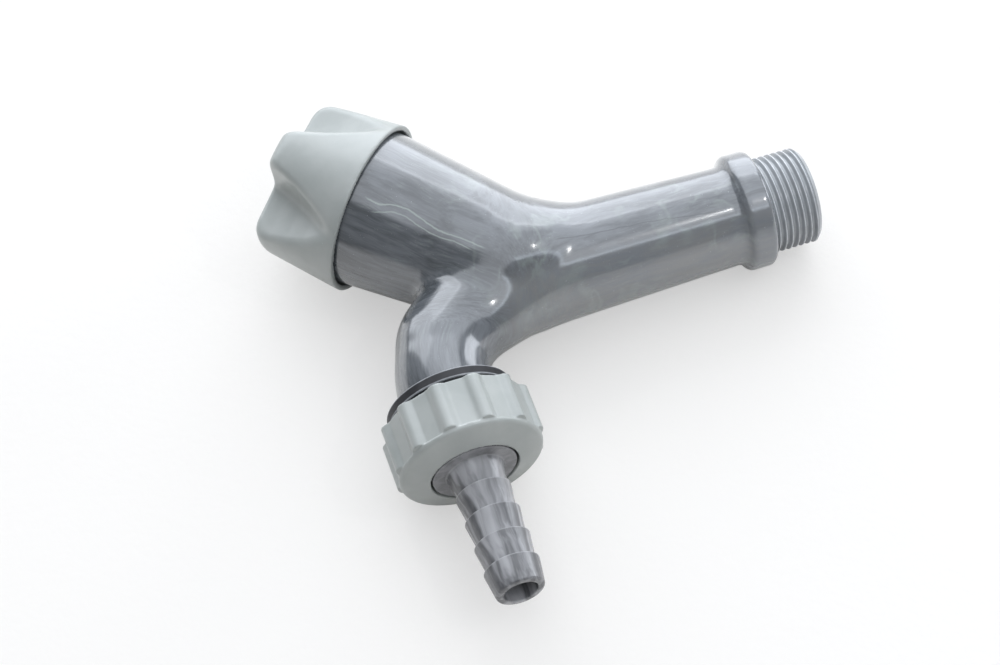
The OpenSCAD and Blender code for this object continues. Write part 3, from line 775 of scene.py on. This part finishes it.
def plain_plastic(name, light, dark, rough):
    """Moulded plastic with a faint mottle and orange-peel texture."""
    f = Finish(name, Specular_IOR_Level=0.45)
    place = f.place()
    f.set("Base Color", f.mix(f.noise(place, 0.15, 4.0, 0.6).step(0.3, 0.7), dark, light))
    grain = f.noise(place, 1.1, 3.0, 0.6)
    f.set("Roughness", rough + grain * 0.12)
    f.bump(grain, 0.2, 0.08 * MM)
    return f.material


def rubber_finish():
    """Black rubber with a soft sheen and a dusty bloom."""
    f = Finish("seal_rubber", Specular_IOR_Level=0.35)
    place = f.place()
    bloom = f.noise(place, 0.5, 5.0, 0.65).step(0.45, 0.75)
    f.set("Base Color", f.mix(bloom * 0.4, (0.018, 0.018, 0.019), (0.07, 0.07, 0.07)))
    f.set("Roughness", 0.55 + bloom * 0.2)
    f.bump(f.noise(place, 2.2, 3.0, 0.6), 0.3, 0.06 * MM)
    return f.material


def metal_finish(name, bright, dull, rough):
    """Turned metal with fine tool marks and dull patches."""
    f = Finish(name, Metallic=1.0)
    place = f.place()
    patch = f.noise(place, 0.3, 4.0, 0.6).step(0.4, 0.7)
    marks = f.noise(f.vector("MULTIPLY", place, (0.4, 3.0, 3.0)), 1.4, 3.0, 0.6)
    f.set("Base Color", f.mix(patch, bright, dull))
    f.set("Roughness", rough + patch * 0.15)
    f.bump(marks, 0.15, 0.04 * MM)
    return f.material


def colours():
    return bpy.context.scene.tap_colours


# Shapes of the pieces

FLANGE_LAP = 1.5 * MM  # how far the moulding runs on under the flange
COLLAR_EDGE = 1.3 * MM
COLLAR_FILLET = 3.0 * MM
COLLAR_ZONE = -24.0 * MM  # the collar's fillet is on the inlet's side of this
SPOUT_TURN = 65.0  # degrees of bend in the spout's outside
PASSAGE_TURN = 62.0  # degrees of bend in its passage
# Radius and start along the barrel, in mm, of the seat's bore, the chamber and the headwork's thread
BARREL_BORES = ((7.0, 0.0), (13.5, 10.0), (16.05, 36.1))
KNOB_SHOULDER = 5.2 * MM
KNOB_RIM_EDGE = 0.5 * MM
# Distance from the knob's rim and height above its axis, in mm, of points on a scoop's bottom
SCOOP_BOTTOM = ((-2.0, 27.2), (2.4, 23.5), (5.1, 21.1), (9.8, 17.4), (15.2, 14.0), (21.0, 11.1), (26.3, 9.0),
                (30.0, 7.6))
SCOOP_FALL = 0.86  # cosine of the slope at which a scoop runs down
# Radius, start and end from the knob's rim, in mm, of its rooms for the flange, hexagon, neck and screw
KNOB_ROOMS = ((18.9, -1.0, 4.5), (14.3, -1.0, 10.5), (9.0, -1.0, 13.9), (5.5, 15.0, 30.0))
OUTLET_BORE_RADIUS = 9.5 * MM
INLET_SIDES, OUTLET_SIDES, PLAIN_SIDES = 288, 240, 160  # facets round the threads and the plain turned pieces
NUT_BORE_RADIUS = 16.65 * MM
NUT_FRONT_WALL = 3.4 * MM
TAIL_SEAT_RADIUS = 16.55 * MM
TAIL_SEAT_THICKNESS = 3.0 * MM


def spout_shape(points, s, radius, into):
    """The spout's outside or passage: a bend from the barrel, then straight down to the flange."""
    neck = s.flange_start - s.spout_neck
    centre = (OUTLET.origin[0] + s.spout_bend, -neck)
    bent = bent_tube(points, centre, s.spout_bend, radians(180.0 - into), pi, radius)
    return np.minimum(bent, cone(OUTLET.local(points), radius, radius, neck, OUTLET_END))


def body_field(points, s):
    """The moulded body without its threads: pipe, barrel, spout, collar and passages."""
    inlet, barrel = INLET.local(points), BARREL.local(points)
    root = BARREL.origin[0]
    pipe = round_root_cone(inlet, s.pipe_root_radius, s.pipe_radius, root, -1.0 * MM)
    head = round_root_cone(barrel, s.barrel_root_radius, s.barrel_mouth_radius, s.barrel_root,
                           s.barrel_length)
    # this fillet is wide in the crotch and tight on the underside
    reach = eased(points[:, 1], -12.0 * MM, 2.0 * MM, s.belly_reach, s.crotch_reach)
    shape = merged(pipe, head, reach)
    # this one is wide towards the pipe and tight under the barrel
    side = (points[:, 0] - OUTLET.origin[0]) - 0.35 * points[:, 1]
    reach = eased(side, 8.0 * MM, 26.0 * MM, s.crease_reach, s.throat_reach)
    shape = merged(shape, spout_shape(points, s, s.spout_radius, SPOUT_TURN), reach)
    foot = np.array([OUTLET.origin[0] + s.web_inset, -s.web_drop, 0.0])
    lead = np.array([root + s.web_lead, 0.0, 0.0]) - foot
    share = np.clip((points - foot) @ lead / (lead @ lead), 0.0, 1.0)
    web = np.linalg.norm(points - foot - share[:, None] * lead, axis=1) - s.web_radius
    shape = merged(shape, web, s.web_reach)
    collar = disc(inlet, s.collar_radius, -s.collar_width, 0.0, COLLAR_EDGE)
    shape = np.where(points[:, 0] > COLLAR_ZONE, merged(shape, collar, COLLAR_FILLET), shape)
    shape = np.maximum(shape, points[:, 0])
    shape = np.maximum(shape, -s.flange_start - FLANGE_LAP - points[:, 1])
    return np.maximum(shape, -passages(points, s))


def passages(points, s):
    """The ways through the body: inlet, valve seat, chamber, headwork thread and spout."""
    beyond = 80.0 * MM
    ways = cone(INLET.local(points), s.bore_radius, s.bore_radius, BARREL.origin[0], beyond)
    barrel = BARREL.local(points)
    for radius, start in BARREL_BORES:
        ways = np.minimum(ways, cone(barrel, radius * MM, radius * MM, start * MM, beyond))
    return np.minimum(ways, spout_shape(points, s, s.bore_radius, PASSAGE_TURN))


def knob_field(points, s):
    """The knob: a rounded cone with scoops, hollow over the headwork."""
    local = BARREL.local(points) - np.array([0.0, 0.0, s.rim_start])
    x, y, z = local.T
    slope = (s.end_radius - s.rim_radius) / s.height
    side = (np.hypot(x, y) - s.rim_radius - slope * z) / sqrt(1.0 + slope * slope)
    shape = -merged(-side, -(z - s.height), KNOB_SHOULDER)
    shape = np.maximum(shape, -merged(z, -side, KNOB_RIM_EDGE))
    half = s.scoop_angle / 2.0
    runs, heights = np.array(SCOOP_BOTTOM).T * MM
    bottom = np.interp(z, runs, heights)
    for i in range(s.scoops):
        turn = s.scoop_turn + 2.0 * pi * i / s.scoops
        out = x * cos(turn) + y * sin(turn)
        aside = np.abs(-x * sin(turn) + y * cos(turn))
        aside = np.sqrt(aside ** 2 + s.valley_round ** 2) - 0.55 * s.valley_round
        flank = (out - bottom) * sin(half) - aside * cos(half)
        shape = carved(shape, -flank * SCOOP_FALL, s.ridge_round)
    # the skirt's room narrows towards the barrel's mouth
    room = cone(local, 22.95 * MM, 22.5 * MM, -5.0 * MM, 2.5 * MM)
    for radius, start, end in KNOB_ROOMS:
        room = np.minimum(room, cone(local, radius * MM, radius * MM, start * MM, end * MM))
    return np.maximum(shape, -room)


def nut_field(points, s):
    """The union nut: flats between rounded grip ribs, a band, a dished front and a plain bore."""
    rib_fillet, front_edge, lap = 0.9 * MM, 1.1 * MM, 0.25 * MM
    x, y, z = OUTLET.local(points).T
    z = z - NUT_BACK
    full = NUT_FRONT - NUT_BACK
    rho = np.hypot(x, y)
    turn = np.arctan2(y, x)
    step = 2.0 * pi / s.ribs
    aside = turn % step - step / 2.0
    flat = rho * np.cos((turn + step / 2.0) % step - step / 2.0) - s.land_radius
    middle = s.rib_radius - s.rib_width / 2.0
    bar = np.hypot(rho * np.cos(aside) - middle, rho * np.sin(aside)) - s.rib_width / 2.0
    grip = merged(flat, bar, rib_fillet)
    # the ribs' ends lean back a little
    grip = np.maximum(grip, z - s.rib_length + 0.25 * (rho - s.nose_radius))
    front = z - full + s.face_slope * (rho - s.hole_radius)
    nose = -merged(-(rho - s.nose_radius), -front, front_edge)
    nose = np.maximum(nose, s.rib_length + 0.1 * MM - z)
    core = np.maximum(rho - s.land_radius + 0.3 * MM, z - s.rib_length - 0.5 * MM)
    shape = merged(np.minimum(grip, core), nose, lap)
    shape = np.maximum(shape, -z)
    bore = np.maximum(rho - NUT_BORE_RADIUS, z - (full - NUT_FRONT_WALL))
    return np.maximum(np.maximum(shape, -bore), s.hole_radius - rho)


# Operators


def mesh_step(fine):
    return (fine) * MM


def body_piece(name, mesh_data, finish, crest=None):
    piece(name, mesh_data, "tap_body", "valve_body", finish, crest)


def sage_piece(name, body, node, box, field, step):
    """The knob or the nut, from its field, in the sage grey plastic."""
    pad = Vector((1.5 * MM,) * 3)
    mesh_data = surface_nets(field, box[0] - pad, box[1] + pad, step)
    piece(name, mesh_data, body, node, sage_finish(colours()))


class TAP_OT_body(Operator):
    """Builds the moulded body: inlet pipe, barrel, spout and collar"""

    bl_idname = "tap.body"
    bl_label = "Moulded body"

    def execute(self, context):
        s = context.scene.tap_body
        low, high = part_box("valve_body")
        pad = 2.0 * MM
        low = (low.x - pad, -s.flange_start - 3.0 * MM, low.z - pad)
        high = (3.0 * MM, high.y + pad, high.z + pad)
        mesh_data = surface_nets(lambda p: body_field(p, s), low, high, mesh_step(0.62))
        body_piece("body_shell", mesh_data, marbled_body(colours()))
        return {"FINISHED"}


class TAP_OT_threads(Operator):
    """Builds the inlet thread, and the flange with the outlet thread"""

    bl_idname = "tap.threads"
    bl_label = "Threads and flange"

    def execute(self, context):
        s = context.scene.tap_threads
        b = context.scene.tap_body
        chamfer = 1.0 * MM
        outline, crest = thread_outline(-1.0 * MM, INLET_END, 1.1 * MM, INLET_END - 1.75 * MM, s.inlet_radius,
                                        s.inlet_depth, s.inlet_pitch, chamfer, b.bore_radius - 0.03 * MM,
                                        INLET_SIDES)
        body_piece("inlet_thread", turned(INLET, outline, INLET_SIDES), thread_finish(colours()), crest)
        dark = flange_finish(colours())
        near, far, rim = b.flange_start, b.flange_start + b.flange_thickness, b.flange_radius
        start = far - 0.4 * MM
        outline, crest = thread_outline(start, OUTLET_END, start + 1.4 * MM, OUTLET_END - 2.0 * MM,
                                        s.outlet_radius, s.outlet_depth, s.outlet_pitch, chamfer,
                                        OUTLET_BORE_RADIUS, OUTLET_SIDES)
        # faint pale crests on the outlet thread: worn burrs and painted highlight
        body_piece("outlet_thread", turned(OUTLET, outline, OUTLET_SIDES), dark, 0.1 * crest)
        # rings beside the rims keep their painted highlights narrow
        bore, inwards, back, edge = OUTLET_BORE_RADIUS - 0.05 * MM, 0.8 * MM, 0.45 * MM, 0.25 * MM
        outline = rounded_path([(near, bore, 0.0), (near, rim - inwards, 0.0), (near, rim, edge),
                                (near + back, rim, 0.0), (far - back, rim, 0.0), (far, rim, edge),
                                (far, rim - inwards, 0.0), (far, bore, 0.0)])
        verts, faces = turned(OUTLET, outline, PLAIN_SIDES)
        out = np.hypot(verts[:, 0] - OUTLET.origin[0], verts[:, 2])
        half = b.flange_thickness / 2.0
        middle = np.abs(-verts[:, 1] - near - half)
        # painted highlight mask on the flange's two rims
        crest = smooth_step(out, rim - 0.5 * MM, rim - 0.2 * MM)
        crest = crest * smooth_step(middle, half - 0.36 * MM, half - 0.2 * MM)
        body_piece("outlet_flange", (verts, faces), dark, crest)
        return {"FINISHED"}


class TAP_OT_knob(Operator):
    """Builds the four-lobed knob"""

    bl_idname = "tap.knob"
    bl_label = "Knob"

    def execute(self, context):
        s = context.scene.tap_knob
        sage_piece("lobed_knob", "knob_set", "knob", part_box("knob"), lambda p: knob_field(p, s),
                   mesh_step(0.45))
        return {"FINISHED"}


class TAP_OT_nut(Operator):
    """Builds the ribbed union nut"""

    bl_idname = "tap.nut"
    bl_label = "Union nut"

    def execute(self, context):
        s = context.scene.tap_nut
        sage_piece("ribbed_nut", "nut", "union_nut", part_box("union_nut"), lambda p: nut_field(p, s),
                   mesh_step(0.32))
        return {"FINISHED"}


class TAP_OT_tail(Operator):
    """Builds the barbed hose tail"""

    bl_idname = "tap.tail"
    bl_label = "Hose tail"

    def execute(self, context):
        s = context.scene.tap_tail
        first = TAIL_END - s.barbs * s.pitch
        hub = NUT_FRONT - 0.15 * MM
        seat = TAIL_START + TAIL_SEAT_THICKNESS
        corners = [(TAIL_START, s.bore_radius, 0.0), (TAIL_START, TAIL_SEAT_RADIUS, 0.3 * MM),
                   (seat, TAIL_SEAT_RADIUS, 0.3 * MM), (seat, s.hub_radius, 0.0),
                   (hub, s.hub_radius, 0.4 * MM), (hub, s.root_radius, 0.5 * MM),
                   (first - 0.12 * MM, s.neck_radius, 0.0)]
        # a ring behind each shoulder keeps its pale mark narrow
        back = 0.45 * MM
        fall = (s.foot_radius - s.barb_radius) * back / s.pitch
        for i in range(s.barbs):
            start = first + i * s.pitch
            corners.append((start, s.barb_radius, 0.12 * MM))
            corners.append((start + back, s.barb_radius + fall, 0.0))
            corners.append((start + s.pitch, s.foot_radius, 1.0 * MM if i == s.barbs - 1 else 0.0))
        corners.append((TAIL_END, s.bore_radius, 0.4 * MM))
        verts, faces = turned(OUTLET, rounded_path(corners), PLAIN_SIDES)
        out = np.hypot(verts[:, 0] - OUTLET.origin[0], verts[:, 2])
        crest = (out > s.barb_radius - 0.05 * MM) & (-verts[:, 1] > first - 0.1 * MM)
        piece("barbed_tail", (verts, faces), "tail", "hose_tail", marbled_tail(colours()),
              crest)
        return {"FINISHED"}


class TAP_OT_inner_parts(Operator):
    """Gives the headwork, spindle, valve disc, seals and cap their finishes"""

    bl_idname = "tap.inner_parts"
    bl_label = "Inner parts"

    def execute(self, context):
        rubber = rubber_finish()
        steel = metal_finish("turned_steel", (0.62, 0.62, 0.63), (0.42, 0.42, 0.43), 0.25)
        brass = metal_finish("turned_brass", (0.72, 0.53, 0.24), (0.5, 0.36, 0.17), 0.28)
        inner = plain_plastic("headwork_plastic", (0.4, 0.41, 0.41), (0.3, 0.31, 0.31), 0.4)
        cap = plain_plastic("cap_plastic", tuple(colours().knob), tuple(colours().knob_shade), 0.36)
        finishes = {"headwork": inner, "headwork_seal": rubber, "spindle_seal_inner": rubber,
                    "spindle_seal_outer": rubber, "spindle": steel, "retaining_ring": steel, "jumper": brass,
                    "seat_washer": rubber, "washer_screw": steel, "handle_screw": steel, "knob_cap": cap,
                    "tail_gasket": rubber}
        for name, finish in finishes.items():
            mesh = frame["nodes"][name].data
            if not mesh.materials:
                mesh.materials.append(finish)
            for i in range(len(mesh.materials)):
                mesh.materials[i] = finish
        return {"FINISHED"}


def floor_plane():
    """Normal and height of the floor that touches the knob's rim, the nut and the collar."""
    b, k, n = bpy.context.scene.tap_body, bpy.context.scene.tap_knob, bpy.context.scene.tap_nut
    rings = ((BARREL, k.rim_start + KNOB_RIM_EDGE, k.rim_radius),
             (OUTLET, NUT_BACK + n.rib_length / 2.0, n.rib_radius),
             (INLET, -b.collar_width / 2.0, b.collar_radius))
    normal = np.array(UP)
    rounds = 20  # more than it takes to come to rest
    for _ in range(rounds):
        feet = []
        for axis, run, radius in rings:
            ahead = axis.rows[2]
            down = normal - (normal @ ahead) * ahead
            feet.append(axis.origin + run * ahead - radius * down / np.linalg.norm(down))
        normal = np.cross(feet[1] - feet[0], feet[2] - feet[0])
        normal = normal / np.linalg.norm(normal) * (1.0 if normal[2] > 0 else -1.0)
    return normal, feet[0]


def room_light(colour, level):
    """Even light from all round, which the camera sees as white."""
    world = bpy.data.worlds.new("studio")
    world.use_nodes = True
    nodes, links = world.node_tree.nodes, world.node_tree.links
    room = nodes["Background"]
    room.inputs["Color"].default_value = (*colour, 1.0)
    room.inputs["Strength"].default_value = level
    white = nodes.new("ShaderNodeBackground")
    white.inputs["Color"].default_value = (0.97, 0.97, 0.97, 1.0)
    paths = nodes.new("ShaderNodeLightPath")
    blend = nodes.new("ShaderNodeMixShader")
    links.new(paths.outputs["Is Camera Ray"], blend.inputs[0])
    links.new(room.outputs[0], blend.inputs[1])
    links.new(white.outputs[0], blend.inputs[2])
    links.new(blend.outputs[0], nodes["World Output"].inputs["Surface"])
    return world


def floor_finish(colour):
    """Pale sheet that shows white to the camera and keeps the soft shadow."""
    f = Finish("pale_floor", Roughness=0.85, Specular_IOR_Level=0.2)
    f.set("Base Color", colour)
    weave = f.noise(f.vector("MULTIPLY", f.place(), (1.0, 1.0, 0.0)), 0.35, 4.0, 0.6)
    f.bump(weave, 0.25, 0.4 * MM)
    glow = f.node("ShaderNodeEmission", None, {"Color": (1.0, 1.0, 1.0), "Strength": 1.0})
    paths = f.node("ShaderNodeLightPath", output="Is Camera Ray")
    blend = f.node("ShaderNodeMixShader", None, {0: paths * 0.5, 1: Value(f, f.shader.outputs[0]), 2: glow})
    output = next(n for n in f.tree.nodes if n.type == "OUTPUT_MATERIAL")
    f.tree.links.new(blend.socket, output.inputs["Surface"])
    return f.material


SKY = (0.89, 0.935, 1.0)
# Each lamp: its place from the camera's aim, the way it faces, width and height in metres, the level that it
# takes and its share of it, and its colour
LAMPS = {
    "window_light": ((0.08, 1.2, 0.73), (-0.08, -1.0, 0.0), 2.36, 1.5, "window_level", 0.9, SKY),
    "high_window_light": ((0.45, 1.12, 0.98), (-0.36, -1.0, -0.12), 1.8, 1.95, "window_level", 0.2, SKY),
    "side_window_light": ((0.97, 0.21, 0.29), (-1.0, -0.2, 0.0), 0.46, 0.6, "side_level", 1.0, SKY),
    "front_light": ((0.35, -1.25, 0.15), (-0.2, 1.0, 0.0), 1.7, 0.32, "front_level", 1.0, (1.0, 0.98, 0.95)),
    "ceiling_light": ((0.3, 0.1, 1.15), (0.0, 0.0, -1.0), 1.9, 1.86, "ceiling_level", 1.0, SKY),
    "strip_light": ((0.45, -0.72, 1.1), (0.0, 0.0, -1.0), 1.3, 0.09, "strip_level", 1.0, (0.75, 0.87, 1.0)),
    "pin_light": ((0.41, -0.287, 0.87), (-0.41, 0.287, -0.87), 0.032, 0.032, "pin_level", 1.0,
                  (1.0, 1.0, 1.0)),
}


def lamp(name, place, facing, width, height, level, colour):
    """A soft panel of light. The level is its brightness, where white paper in plain light is 1."""
    light = bpy.data.lights.new(name, "AREA")
    light.shape = "RECTANGLE"
    light.size = width
    light.size_y = height
    light.energy = level * pi * width * height
    light.color = colour
    obj = bpy.data.objects.new(name, light)
    obj.location = place
    obj.rotation_euler = Vector(facing).to_track_quat("-Z", "Y").to_euler()
    obj.visible_camera = False
    bpy.context.scene.collection.objects.link(obj)


class TAP_OT_stage(Operator):
    """Sets the floor, the soft light and the camera"""

    bl_idname = "tap.stage"
    bl_label = "Stage"

    def execute(self, context):
        s = context.scene.tap_stage
        normal, foot = floor_plane()
        side = np.cross(np.array([0.0, 1.0, 0.0]), normal)
        side /= np.linalg.norm(side)
        ahead = np.cross(normal, side)
        reach, gap = 3.0, 0.02 * MM
        corners = [foot - gap * normal + reach * (a * side + b * ahead)
                   for a, b in ((-1, -1), (1, -1), (1, 1), (-1, 1))]
        mesh = bpy.data.meshes.new("floor")
        mesh.from_pydata([tuple(c) for c in corners], [], [(0, 1, 2, 3)])
        mesh.materials.append(floor_finish(tuple(s.floor)))
        ground = bpy.data.objects.new("floor", mesh)
        context.scene.collection.objects.link(ground)
        context.scene.world = room_light(tuple(s.room), s.room_level)
        aim = Vector(s.aim)
        for name, (place, facing, width, height, level, share, colour) in LAMPS.items():
            lamp(name, aim + Vector(place), facing, width, height, share * getattr(s, level), colour)
        forward = Vector((sin(s.heading) * cos(s.pitch), cos(s.heading) * cos(s.pitch), -sin(s.pitch)))
        data = bpy.data.cameras.new("camera")
        data.lens = s.lens
        data.sensor_width = 36.0
        camera = bpy.data.objects.new("camera", data)
        level = forward.cross(Vector(UP)).normalized()
        up = level.cross(forward)
        right = level * cos(s.roll) + up * sin(s.roll)
        up = right.cross(forward)
        turn = Matrix((right, up, -forward)).transposed().to_4x4()
        camera.matrix_world = Matrix.Translation(aim - s.distance * forward) @ turn
        context.scene.collection.objects.link(camera)
        context.scene.camera = camera
        context.scene.view_settings.view_transform = "Standard"
        return {"FINISHED"}


class TAP_PT_panel(Panel):
    """Lists the steps that build the tap"""

    bl_idname = "TAP_PT_panel"
    bl_label = "Draw-off Tap"
    bl_space_type = "VIEW_3D"
    bl_region_type = "UI"
    bl_category = "Tap"

    def draw(self, context):
        for step in STEPS:
            self.layout.operator(step.bl_idname)
        for group in SETTINGS:
            box = self.layout.box()
            for name in SETTINGS[group].__annotations__:
                box.prop(getattr(context.scene, group), name)


SETTINGS = {"tap_body": TapBodySettings, "tap_threads": TapThreadSettings, "tap_knob": TapKnobSettings,
            "tap_nut": TapNutSettings, "tap_tail": TapTailSettings, "tap_colours": TapColourSettings,
            "tap_stage": TapStageSettings}
STEPS = (TAP_OT_body, TAP_OT_threads, TAP_OT_knob, TAP_OT_nut, TAP_OT_tail, TAP_OT_inner_parts, TAP_OT_stage)


def register():
    for kind in (*SETTINGS.values(), *STEPS, TAP_PT_panel):
        bpy.utils.register_class(kind)
    for name, kind in SETTINGS.items():
        setattr(bpy.types.Scene, name, PointerProperty(type=kind))


def unregister():
    for name in SETTINGS:
        delattr(bpy.types.Scene, name)
    for kind in reversed((*SETTINGS.values(), *STEPS, TAP_PT_panel)):
        bpy.utils.unregister_class(kind)


def main():
    register()
    bpy.ops.tap.body()
    bpy.ops.tap.threads()
    bpy.ops.tap.knob()
    bpy.ops.tap.nut()
    bpy.ops.tap.tail()
    bpy.ops.tap.inner_parts()
    bpy.ops.tap.stage()


if __name__ == "__main__":
    main()
